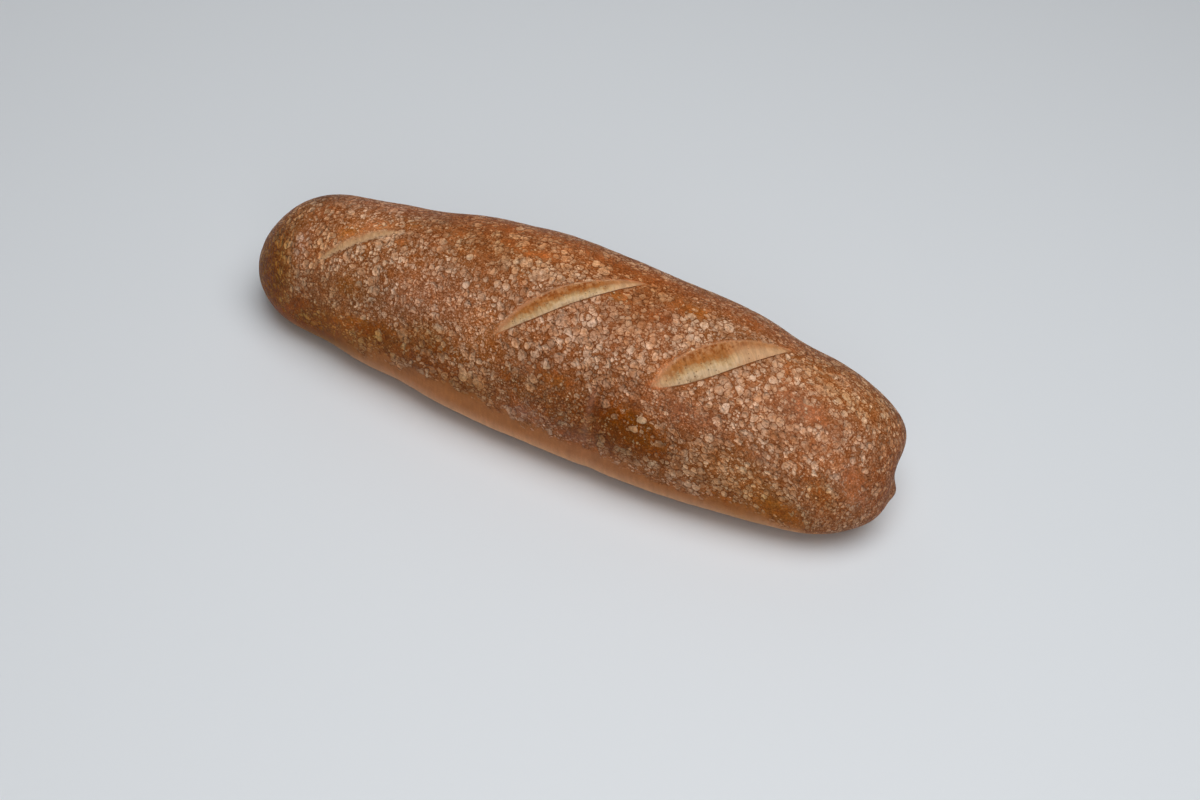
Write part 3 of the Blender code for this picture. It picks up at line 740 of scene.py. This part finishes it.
# Lean dough baked in steam: starch blisters pale on a glazed, browned skin.
crustLook = {
    # crust colours by lightness, from nearly burnt to barely browned
    "browning": [(0.025, "#501A00"), (0.06, "#6C340E"), (0.113, "#864E24"), (0.186, "#A26A42"),
                 (0.30, "#BE8A66"), (0.49, "#DCAC88"), (0.80, "#FACCAC")],
    "warmer": (1.0, 0.90, 0.76),
    "cooler": (1.0, 1.11, 1.33),
    "reddish": "#AC6438",
    "orange": "#AC621A",
    "amber": "#844200",
    "oliveSkin": "#8C5A1E",
    # the smooth strip from top to bottom; the bottom's paleness is partly painted light bounced up from the
    # floor
    "stripHigh": "#A66A3E",
    "stripLowWithPaintedBounce": "#D0A078",
    "under": "#A06C42",
    "between": "#80441A",
    # the grey of the painted sheen, a haze of reflected light
    "dull": "#A07A68",
    "blisterLow": "#BE865A",
    "blisterHigh": "#F0C694",
    "blisterPink": "#ECBE98",
    "olive": "#C89C5E",
    "roughness": 0.46,
    "glazeRoughness": 0.30,
    "blisterRoughness": 0.58,
    "specular": 0.08,
    "outline": (0.36, 0.25, 0.13),
    "ior": 1.45,
    "mottleRise": 0.16,
    "crestRise": 0.9,
    "stripCover": 0.86,
    # the mesh's attributes and the three fields that each holds
    "fields": {
        "cut": ("inside", "share", "along"), "skin": ("cover", "dark", "fine"),
        "side": ("strip", "base", "dull"), "crumb": ("closed", "plain", "dots"),
        "hue": ("olive", "paler", "redder"), "spot": ("depth", "spotTone"),
    },
    # noises over the crust: how many to the millimetre, detail, roughness
    "noises": {
        "broad": (0.04, 3.0, 0.5), "cloud": (0.07, 3.0, 0.5), "pale": (0.16, 3.0, 0.5),
        "patchy": (0.22, 2.0, 0.5), "warmth": (0.22, 2.5, 0.5), "blotch": (0.3, 2.0, 0.5),
        "mottle": (0.9, 4.0, 0.65), "fleck": (1.1, 3.0, 0.7), "grain": (10 / 9, 3.0, 0.75),
    },
    # streaks of the smooth strip: how many to the millimetre along the loaf, across it and up
    "streaks": (0.5, 0.12, 0.12),
    # the wander of the blisters' edges: size and sway in mm
    "ripples": [(2.4, 1.5), (0.8, 0.45)],
    # cell in mm, smallest and largest radius as a share of it, gap in mm, share of cells that rose,
    # more of them where the skin is finely blistered, lift in mm, how solid the disc looks, how dark
    # its outline is, how much its paleness varies, and the field that says where they lie
    "blisters": [
        {"cell": 1.1, "small": 0.20, "large": 0.56, "gap": 0.02, "share": 0.60, "fine": 0.2, "lift": 0.14,
         "show": 0.5, "mark": 0.5, "tone": 0.5, "seed": 3.0, "where": "cover"},
        {"cell": 1.9, "small": 0.24, "large": 0.62, "gap": 0.04, "share": 0.62, "fine": 0.0, "lift": 0.34,
         "show": 0.85, "mark": 0.8, "tone": 0.6, "seed": 11.0, "where": "cover"},
        {"cell": 3.0, "small": 0.28, "large": 0.66, "gap": 0.05, "share": 0.62, "fine": -0.4, "lift": 0.60,
         "show": 0.95, "mark": 0.95, "tone": 0.7, "seed": 23.0, "where": "cover"},
        {"cell": 4.6, "small": 0.30, "large": 0.62, "gap": 0.08, "share": 0.50, "fine": -0.4, "lift": 0.80,
         "show": 0.95, "mark": 0.95, "tone": 0.75, "seed": 41.0, "where": "cover"},
        {"cell": 1.7, "small": 0.18, "large": 0.56, "gap": 0.05, "share": 0.6, "fine": 0.0, "lift": 0.3,
         "show": 1.0, "mark": 0.6, "tone": 1.0, "seed": 57.0, "where": "dots"},
    ],
    # distances inside a blister's edge: from so many mm and shares of its cell to so many of both
    "blisterSpans": {
        "disc": (-0.11, 0.0, 0.13, 0.0), "outline": (-0.18, -0.06, -0.02, 0.0),
        "rim": (-0.05, 0.0, 0.0, 0.12), "middle": (0.0, 0.16, 0.0, 0.42), "dome": (-0.1, 0.0, 0.0, 0.28),
    },
    # how softly neighbours meet, as a share of the cell, how dark an edge gets as painted shade where the
    # dome falls away, and how toasted a middle gets
    "blisterMeet": 0.12,
    "edgeTone": 0.6,
    "middleTone": 0.35,
    # clumps of them: how many to the cell, and the range and the amounts of their noise
    "clumpScale": 0.3,
    "clumps": (0.36, 0.54, 0.3, 1.15),
    # how far the dullest blisters differ from the skin, how much olive stretches show in it, and how
    # ragged it is: how much more where it is finely blistered, and everywhere
    "lowTone": 0.45,
    "oliveShare": 0.3,
    "raggedSkin": (0.3, 0.25),
    # amounts read off a noise or a field: its name, its range, and the amount at either end of that
    "ranges": {
        "orange": ("broad", 0.35, 0.65, 0.0, 1.0),
        "mottled": ("mottle", 0.35, 0.65, 0.66, 1.28),
        "thick": ("cloud", 0.32, 0.5, 0.65, 1.0),
        "pale": ("pale", 0.3, 0.7, -0.16, 0.52),
        "pink": ("patchy", 0.42, 0.58, 0.0, 1.0),
        "ringed": ("patchy", 0.4, 0.6, 0.2, 1.0),
        "apart": ("apart", 0.35, 0.65, -0.12, 0.16),
        "between": ("cover", 0.1, 0.9, 0.0, 0.6),
        # where the skin is dark, blisters take its colour: toasting, and painted shade low on the left end
        "toast": ("dark", 0.0, 1.0, 0.0, 0.4),
        "ring": ("depth", -0.7, 0.0, 0.0, 0.5),
        "speckled": ("mottle", 0.3, 0.7, -0.35, 0.35),
        "pores": ("fleck", 0.47, 0.38, 0.0, 0.85),
        "flecks": ("fleck", 0.54, 0.64, 0.0, 0.7),
        "grain": ("grain", 0.3, 0.7, 0.34, 1.66),
        "coarse": ("cover", 0.0, 0.5, 0.45, 1.0),
        "blotch": ("blotch", 0.3, 0.7, 0.78, 1.38),
        "keep": ("cover", 0.1, 0.7, 0.15, 0.65),
        "free": ("dark", 0.2, 1.0, 1.0, 0.3),
        "warmth": ("warmth", 0.32, 0.68, 0.0, 1.0),
        "haze": ("cloud", 0.4, 0.6, 0.08, 0.3),
        "streaked": ("streak", 0.3, 0.7, 0.88, 1.12),
        # the strip turns amber where the skin is dark: pooled glaze, and painted shade low on the left end
        "glazed": ("dark", 0.35, 1.0, 0.0, 0.8),
        "tip": ("fromMiddle", 0.7, 1.0, 1.0, 0.25),
        "tipFade": ("fromMiddle", 0.86, 1.0, 1.0, 0.4),
        "lower": ("share", 0.5, 0.9, 0.0, 1.0),
        "skinned": ("share", 0.2, 0.5, 1.0, 0.08),
        "opened": ("closed", 0.0, 1.0, 1.0, 0.3),
        "edge": ("closed", 0.0, 1.0, 0.35, 1.5),
        "ragged": ("mottle", 0.3, 0.7, -1.6, 1.6),
        "faded": ("along", -1.0, -0.1, 2.2, 0.0),
    },
    # the same, eased at both ends
    "softRanges": {
        "spot": ("depth", -0.15, 0.3, 0.0, 0.75),
        "down": ("up", 22.0, 8.0, 0.0, 1.0),
        # a painted highlight on the raised crest of a cut's lip, and a painted shadow below its sharp edge
        "crest": ("inside", -1.4, -0.2, 0.0, 0.35),
        "below": ("inside", -1.1, -0.1, 0.0, 0.6),
    },
}


# One size of blister over the colour and height so far: low domes with a dark outline, squeezed
# where neighbours touch, paler at the rim than at the toasted middle, with painted shade at the very edge
# where the dome falls away.
def addBlisters(add, layer, sheet, around, colour, height):
    look, cell = crustLook, layer["cell"]
    spans = {name: (a + b * cell, c + d * cell) for name, (a, b, c, d) in look["blisterSpans"].items()}
    moved = add("VectorMath", [sheet, (layer["seed"], 0.7 * layer["seed"], 0.0)])
    near = add("TexVoronoi", {"Vector": moved, "Scale": 1.0 / cell}, "Distance", **flat)
    wall = add("TexVoronoi", {"Vector": moved, "Scale": 1.0 / cell}, "Distance", **flatWalls)
    size, chance, tone = add("SeparateXYZ", [near.node.outputs["Color"]]).node.outputs
    radius = add("MapRange", [size, 0.0, 1.0, layer["small"] * cell, layer["large"] * cell])
    edge = add("Math", [near, -cell, radius], **multiplyAdd)
    wall = add("Math", [wall, cell, -layer["gap"]], **multiplyAdd)
    wall = add("Math", [wall, around["apart"]], operation="SUBTRACT")
    edge = add("Math", [edge, wall, look["blisterMeet"] * cell], operation="SMOOTH_MIN")

    share = add("Math", [around["fine"], layer["fine"], layer["share"]], **multiplyAdd)
    clumps = add("TexNoise", {"Vector": moved, "Scale": look["clumpScale"] / cell, "Detail": 1.0})
    clumps = add("MapRange", [clumps, *look["clumps"]])
    for factor in (around[layer["where"]], clumps):
        share = add("Math", [share, factor], **multiply)
    risen = add("Math", [chance, share], operation="LESS_THAN")
    disc = add("MapRange", [edge, *spans["disc"], 0.0, layer["show"]], **soft)
    disc = add("Math", [disc, risen], **multiply)
    outline = add("MapRange", [edge, *spans["outline"], 0.0, layer["mark"]], **soft)
    outline = add("Math", [outline, risen], **multiply)

    tone = add("Math", [tone, tone], **multiply)
    tone = add("Math", [tone, layer["tone"], around["pale"]], use_clamp=True, **multiplyAdd)
    # painted shade at the very edge, where the dome falls away
    rim = add("MapRange", [edge, *spans["rim"], look["edgeTone"], 1.0])
    middle = add("MapRange", [edge, *spans["middle"]], **soft)
    middle = add("Math", [middle, around["ringed"]], **multiply)
    middle = add("MapRange", [middle, 0.0, 1.0, 1.0, look["middleTone"]])
    for factor in (rim, middle):
        tone = add("Math", [tone, factor], **multiply)
    tone = add("Mix", {0: tone, 6: around["low"], 7: around["high"]}, 2, **colours)
    tone = add("Mix", {0: around["toast"], 6: tone, 7: colour}, 2, **colours)
    for part, paint in ((outline, around["outline"]), (disc, tone)):
        colour = add("Mix", {0: part, 6: colour, 7: paint}, 2, **colours)

    dome = add("MapRange", [edge, *spans["dome"], 0.0, layer["lift"]], **soft)
    height = add("Math", [dome, risen, height], **multiplyAdd)
    return colour, height, disc


crumbLook = {
    # the painted highlight along the raised crest of a cut's lip
    "crest": "#D4A47C",
    # from the lip down to the sharp edge: tan, gold, honey, cream
    "bands": [(0.0, "#B87E50"), (0.15, "#B0723E"), (0.32, "#AA6A34"), (0.48, "#B4885A"), (0.64, "#C8A274"),
              (0.78, "#D6B48C"), (0.92, "#D0B28E"), (1.0, "#BE9A74")],
    "toasted": "#8C4410",
    "tip": "#CE9E74",
    # the crust's dark edge with painted shade in the step, and the painted shadow below the sharp edge
    "line": "#6A3A18",
    "speck": "#5E3414",
    "roughness": 0.7,
    "fibres": (34.0, 1.6, 0.02),  # to the cut's half length, its width and a millimetre of x
    "poreSize": 1.15,  # mm, coarser than the finest real ones, so that they show
    "bump": 0.4,
    # amounts read off a noise or a field, as for the crust
    "ranges": {
        "wander": ("crumbCloud", 0.3, 0.7, -0.15, 0.15),
        "toasted": ("crumbCloud", 0.44, 0.60, 0.0, 1.0),
        "clumped": ("crumbCloud", 0.46, 0.58, 0.1, 1.2),
        "fibres": ("fibre", 0.35, 0.65, 0.83, 1.15),
        "upper": ("share", 0.48, 0.2, 0.0, 0.85),
        "tan": ("share", 0.12, 0.42, 0.25, 1.0),
        "pores": ("share", 0.15, 0.75, 0.5, 0.25),
        "fewer": ("plain", 0.0, 1.0, 1.0, 0.15),
        "specks": ("pore", 0.40, 0.16, 0.0, 0.75),
        "middle": ("fromMiddle", 0.75, 0.3, 0.0, 1.0),
        "fading": ("fromMiddle", 0.95, 0.7, 0.0, 1.0),
        "opened": ("closed", 0.0, 1.0, 1.0, 0.2),
    },
    "softRanges": {
        "ends": ("fromMiddle", 0.6, 1.0, 0.0, 0.85),
        "line": ("inside", 1.0, 0.1, 0.0, 0.65),
    },
}


# The opened crumb: gold by the lip, cream lower down, a thin brown line at the sharp edge, which is the
# crust's dark edge with painted shade in the step.
def crumbColour(add, place, field):
    look = crumbLook
    stretched = add("CombineXYZ", [field["along"], field["share"], add("SeparateXYZ", [place])])
    stretched = add("VectorMath", [stretched, look["fibres"]], **multiply)
    fibre = add("TexNoise", {"Vector": stretched, "Scale": 0.8, "Detail": 4.0, "Roughness": 0.6})
    cloud = add("TexNoise", {"Vector": place, "Scale": 0.5, "Detail": 4.0, "Roughness": 0.6})
    broad = add("TexNoise", {"Vector": place, "Scale": 0.12, "Detail": 2.0})
    pore = add("TexVoronoi", {"Vector": place, "Scale": 1.0 / look["poreSize"]}, "Distance")
    field = {**field, "fibre": fibre, "crumbCloud": cloud, "pore": pore}
    amount = {}
    for table, settings in ((look["ranges"], {}), (look["softRanges"], soft)):
        for name, (source, *span) in table.items():
            amount[name] = add("MapRange", [field[source], *span], **settings)
    broad = add("Math", [broad, 0.6, -0.3], **multiplyAdd)
    wander = add("Math", [amount["wander"], broad])
    lower = add("Math", [field["share"], wander])
    colour = add("ValToRGB", [lower], "Color", stops=look["bands"])

    # Toasted patches on the upper half of the middle, and tan tips.
    toasted = amount["toasted"]
    for factor in (amount["upper"], amount["middle"]):
        toasted = add("Math", [toasted, factor], **multiply)
    colour = add("Mix", {0: toasted, 6: colour, 7: look["toasted"]}, 2, **colours)
    tanned = add("Math", [field["plain"], 0.8], **multiply)
    ends = add("Math", [tanned, amount["ends"]], **larger)
    ends = add("Math", [ends, amount["tan"]], **multiply)
    ends = add("Math", [field["closed"], 0.6, ends], use_clamp=True, **multiplyAdd)
    colour = add("Mix", {0: ends, 6: colour, 7: look["tip"]}, 2, **colours)

    # Fibres across the cut, clumps of pores, and the line along the sharp edge, partly painted shade in the
    # step.
    colour = add("VectorMath", {0: colour, "Scale": amount["fibres"]}, **scale)
    chance = add("SeparateXYZ", [pore.node.outputs["Color"]])
    often = amount["pores"]
    for factor in (amount["clumped"], amount["fewer"]):
        often = add("Math", [often, factor], **multiply)
    chosen = add("Math", [chance, often], operation="LESS_THAN")
    speck = add("Math", [amount["specks"], chosen], **multiply)
    line = amount["line"]
    lowerHalf = add("Math", [field["share"], 0.5], operation="GREATER_THAN")
    for factor in (lowerHalf, amount["fading"], amount["opened"]):
        line = add("Math", [line, factor], **multiply)
    for part, name in ((speck, "speck"), (line, "line")):
        colour = add("Mix", {0: part, 6: colour, 7: look[name]}, 2, **colours)
    bumps = add("Math", [fibre, cloud])
    bumps = add("Math", [bumps, look["bump"]], **multiply)
    return colour, bumps


def crustMaterial():
    look = crustLook
    material, tree, shader = newMaterial("crust of lean dough baked in steam")
    add = nodeAdder(tree)
    place = add("TexCoord", take="Object")
    place = add("VectorMath", {0: place, "Scale": 1.0 / mm}, **scale)
    sheet = add("Attribute", take="Vector", attribute_name="sheet")
    for size, sway in look["ripples"]:
        ripple = add("TexNoise", {"Vector": sheet, "Scale": 1.0 / size, "Detail": 1.0}, "Color")
        ripple = add("VectorMath", [ripple, (0.5, 0.5, 0.5)], operation="SUBTRACT")
        ripple = add("VectorMath", {0: ripple, "Scale": sway}, **scale)
        sheet = add("VectorMath", [sheet, ripple])
    streak = add("VectorMath", [place, look["streaks"]], **multiply)

    # The measures at each point: noises, and the loaf's own fields.
    field = {
        "up": add("SeparateXYZ", [place], 2),
        "apart": add("TexNoise", {"Vector": sheet, "Scale": 0.35, "Detail": 1.0}),
        "streak": add("TexNoise", {"Vector": streak, "Scale": 1.0, "Detail": 4.0}),
    }
    for name, (many, detail, rough) in look["noises"].items():
        field[name] = add("TexNoise", {"Vector": place, "Scale": many, "Detail": detail, "Roughness": rough})
    for name, parts in look["fields"].items():
        vector = add("Attribute", take="Vector", attribute_name=name)
        field.update(zip(parts, add("SeparateXYZ", [vector]).node.outputs))
    field["fromMiddle"] = add("Math", [field["along"]], operation="ABSOLUTE")
    amount = {}
    for table, settings in ((look["ranges"], {}), (look["softRanges"], soft)):
        for name, (source, *span) in table.items():
            amount[name] = add("MapRange", [field[source], *span], **settings)

    # The skin under the blisters: reddish to orange brown, amber where the glaze pooled, and amber as painted
    # shade low on the left end.
    orange = add("Math", [amount["orange"], field["redder"]], operation="SUBTRACT", use_clamp=True)
    olive = add("Math", [field["olive"], look["oliveShare"]], use_clamp=True, **multiply)
    colour = add("Mix", {0: orange, 6: look["reddish"], 7: look["orange"]}, 2, **colours)
    for part, name in ((olive, "oliveSkin"), (field["dark"], "amber")):
        colour = add("Mix", {0: part, 6: colour, 7: look[name]}, 2, **colours)
    colour = add("VectorMath", {0: colour, "Scale": amount["mottled"]}, **scale)
    height = add("Math", [field["mottle"], look["mottleRise"]], **multiply)

    # How much of the skin blisters cover, and how pale and how toasted they are.
    outline = add("VectorMath", [colour, look["outline"]], **multiply)
    colour = add("Mix", {0: amount["between"], 6: colour, 7: look["between"]}, 2, **colours)
    high = add("Mix", {0: amount["pink"], 6: look["blisterHigh"], 7: look["blisterPink"]}, 2, **colours)
    around = {
        **amount,
        "cover": add("Math", [field["cover"], amount["thick"]], **multiply),
        "dots": field["dots"],
        "fine": field["fine"],
        "pale": add("Math", [amount["pale"], field["paler"]]),
        "outline": outline,
        "low": add("Mix", {0: look["lowTone"], 6: colour, 7: look["blisterLow"]}, 2, **colours),
        "high": add("Mix", {0: olive, 6: high, 7: look["olive"]}, 2, **colours),
    }
    discs = 0.0
    for layer in look["blisters"]:
        colour, height, disc = addBlisters(add, layer, sheet, around, colour, height)
        discs = add("Math", [disc, discs], **larger)
    tone = add("Math", [field["spotTone"], amount["speckled"]], use_clamp=True)
    tone = add("Mix", {0: tone, 6: around["low"], 7: around["high"]}, 2, **colours)
    for part, paint in (("ring", outline), ("spot", tone)):
        colour = add("Mix", {0: amount[part], 6: colour, 7: paint}, 2, **colours)

    # Ragged dark pores and pale flecks where the skin is finely blistered, and grain all over.
    # The grain is drawn coarser than the real flour-fine one, which a picture can't show.
    ragged = add("Math", [field["fine"], *look["raggedSkin"]], use_clamp=True, **multiplyAdd)
    for part, paint in (("pores", outline), ("flecks", around["high"])):
        fleck = add("Math", [amount[part], ragged], **multiply)
        colour = add("Mix", {0: fleck, 6: colour, 7: paint}, 2, **colours)
    onDiscs = add("MapRange", [discs, 0.0, 0.9, 1.0, 0.45])
    coarse = add("Math", [amount["coarse"], onDiscs], **multiply)
    grain = add("Mix", {0: coarse, 2: 1.0, 3: amount["grain"]})
    for shade in (grain, amount["blotch"]):
        colour = add("VectorMath", {0: colour, "Scale": shade}, **scale)

    # Browning draws all colours together by their lightness; some stretches are warmer, and a painted sheen
    # greys others as a haze of reflected light.
    light = add("RGBToBW", [colour])
    browned = add("ValToRGB", [light], "Color", stops=look["browning"])
    keep = add("Math", [amount["keep"], amount["free"]], **multiply)
    colour = add("Mix", {0: keep, 6: colour, 7: browned}, 2, **colours)
    warmth = add("Mix", {0: amount["warmth"], 4: look["cooler"], 5: look["warmer"]}, 1, data_type="VECTOR")
    colour = add("VectorMath", [colour, warmth], **multiply)
    haze = add("Math", [amount["haze"], field["dull"]], **multiply)
    colour = add("Mix", {0: haze, 6: colour, 7: look["dull"]}, 2, **colours)

    # Low on the sides the skin stayed smooth and paler, as on the underside. It pales towards the floor,
    # partly as painted light bounced up from it, and turns amber where the skin is dark, which low on the
    # left end is painted shade.
    smooth = add("Mix", {0: amount["down"], 6: look["stripHigh"], 7: look["stripLowWithPaintedBounce"]}, 2, **colours)
    smooth = add("VectorMath", {0: smooth, "Scale": amount["streaked"]}, **scale)
    smooth = add("Mix", {0: amount["glazed"], 6: smooth, 7: look["amber"]}, 2, **colours)
    strip = add("Math", [field["strip"], look["stripCover"]], **multiply)
    under = add("Math", [1.0, field["base"]], operation="SUBTRACT")
    for part, paint in ((strip, smooth), (under, look["under"])):
        colour = add("Mix", {0: part, 6: colour, 7: paint}, 2, **colours)
    # the tint: olive and rosy hues times the lighter and darker tones, which hold painted light and shade
    tint = add("Attribute", take="Vector", attribute_name="tint")
    colour = add("VectorMath", [colour, tint], **multiply)

    # The edges of the cuts: a painted highlight along the raised crest of the upper lip, and a painted shadow
    # line under the sharp edge.
    upper = add("Math", [field["share"], 0.5], operation="LESS_THAN")
    midway = add("MapRange", [amount["tip"], 0.4, 0.9])
    crest, below = amount["crest"], amount["below"]
    for factor in (upper, amount["opened"]):
        crest = add("Math", [crest, factor], **multiply)
    for factor in (amount["lower"], midway, amount["opened"]):
        below = add("Math", [below, factor], **multiply)
    for part, name in ((crest, "crest"), (below, "line")):
        colour = add("Mix", {0: part, 6: colour, 7: crumbLook[name]}, 2, **colours)

    # Where the opened crumb shows, with softer edges at the tips and in a cut that baked shut.
    isCrumb = add("Math", [field["inside"], amount["tip"]], **multiply)
    isCrumb = add("Math", [amount["ragged"], field["closed"], isCrumb], **multiplyAdd)
    edge = add("Math", [amount["faded"], upper, amount["edge"]], **multiplyAdd)
    isCrumb = add("MapRange", [isCrumb, -0.3, edge], **soft)
    skinned = add("Math", [amount["skinned"], field["closed"]], **multiply)
    isOpen = add("Math", [1.0, skinned], operation="SUBTRACT")
    for factor in (isOpen, amount["tipFade"]):
        isCrumb = add("Math", [isCrumb, factor], **multiply)
    crumb, bumps = crumbColour(add, place, field)
    colour = add("Mix", {0: isCrumb, 6: colour, 7: crumb}, 2, **colours)

    # The baked skin's sheen: duller on blisters, glossier where the glaze pooled, matt on the crumb.
    rough = add("Mix", {0: discs, 2: look["roughness"], 3: look["blisterRoughness"]})
    rough = add("Mix", {0: field["dark"], 2: rough, 3: look["glazeRoughness"]})
    rough = add("Mix", {0: isCrumb, 2: rough, 3: crumbLook["roughness"]})
    height = add("Math", [crest, look["crestRise"], height], **multiplyAdd)
    height = add("Mix", {0: isCrumb, 2: height, 3: bumps})
    normal = add("Bump", {"Height": height, "Distance": mm, "Strength": 1.0}, "Normal")
    for name, socket in (("Base Color", colour), ("Roughness", rough), ("Normal", normal)):
        tree.links.new(socket, shader.inputs[name])
    shader.inputs["IOR"].default_value = look["ior"]
    shader.inputs["Specular IOR Level"].default_value = look["specular"]
    return material


loaf = makeLoaf()
print(f"loaf of {len(loaf.data.polygons)} faces")
loaf.data.materials.append(crustMaterial())
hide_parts("loaf")
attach(loaf, "root")


stageLook = {"floor": "#E4E8EC", "roughness": 0.6, "size": 6.0}


def makeFloor():
    mesh = bpy.data.meshes.new("floor")
    half = 0.5 * stageLook["size"]
    corners = [(-half, -half, 0), (half, -half, 0), (half, half, 0), (-half, half, 0)]
    mesh.from_pydata(corners, [], [(0, 1, 2, 3)])
    floor = bpy.data.objects.new("floor", mesh)
    material, _, shader = newMaterial("matt pale studio floor")
    shader.inputs["Base Color"].default_value = linear(stageLook["floor"])
    shader.inputs["Roughness"].default_value = stageLook["roughness"]
    mesh.materials.append(material)
    bpy.context.scene.collection.objects.link(floor)


# White soft lights turned to the loaf's middle: place and size in metres, power in watts.
lights = {
    "ceiling": {"at": (0.30, -0.15, 1.55), "size": 1.5, "power": 19.6},
    "front": {"at": (0.5, -1.1, 0.9), "size": 1.0, "power": 4.0},
    "window": {"at": (-0.6, 0.9, 0.9), "size": 0.9, "power": 1.0},
}
surroundings = {"colour": "#C9CCD0", "strength": 0.12}


def makeLights():
    for name, spec in lights.items():
        lamp = bpy.data.lights.new(name, "AREA")
        lamp.shape = "DISK"
        lamp.size = spec["size"]
        lamp.energy = spec["power"]
        holder = bpy.data.objects.new(name, lamp)
        holder.location = spec["at"]
        holder.rotation_euler = (-Vector(spec["at"])).to_track_quat("-Z", "Y").to_euler()
        bpy.context.scene.collection.objects.link(holder)
    world = bpy.data.worlds.new("studio")
    world.use_nodes = True
    background = world.node_tree.nodes["Background"]
    background.inputs["Color"].default_value = linear(surroundings["colour"])
    background.inputs["Strength"].default_value = surroundings["strength"]
    bpy.context.scene.world = world


# Where the photo was taken from, worked back from the loaf's outline. Metres, degrees, millimetres.
cameraView = {"at": (0.2408, -0.6319, 0.6521), "to": (0.0304, -0.0321, 0.04), "roll": 6.95, "lens": 54.0}


def makeCamera():
    camera = bpy.data.cameras.new("camera")
    camera.lens = cameraView["lens"]
    camera.sensor_width = 36.0
    camera.clip_start = 0.01
    holder = bpy.data.objects.new("camera", camera)
    holder.location = cameraView["at"]
    look = (Vector(cameraView["to"]) - Vector(cameraView["at"])).to_track_quat("-Z", "Y").to_matrix()
    turn = Vector((0, 0, 1))
    holder.rotation_euler = (look @ Matrix.Rotation(math.radians(cameraView["roll"]), 3, turn)).to_euler()
    bpy.context.scene.collection.objects.link(holder)
    bpy.context.scene.camera = holder


makeFloor()
makeLights()
makeCamera()
bpy.context.scene.view_settings.view_transform = "Standard"
print("stage set")
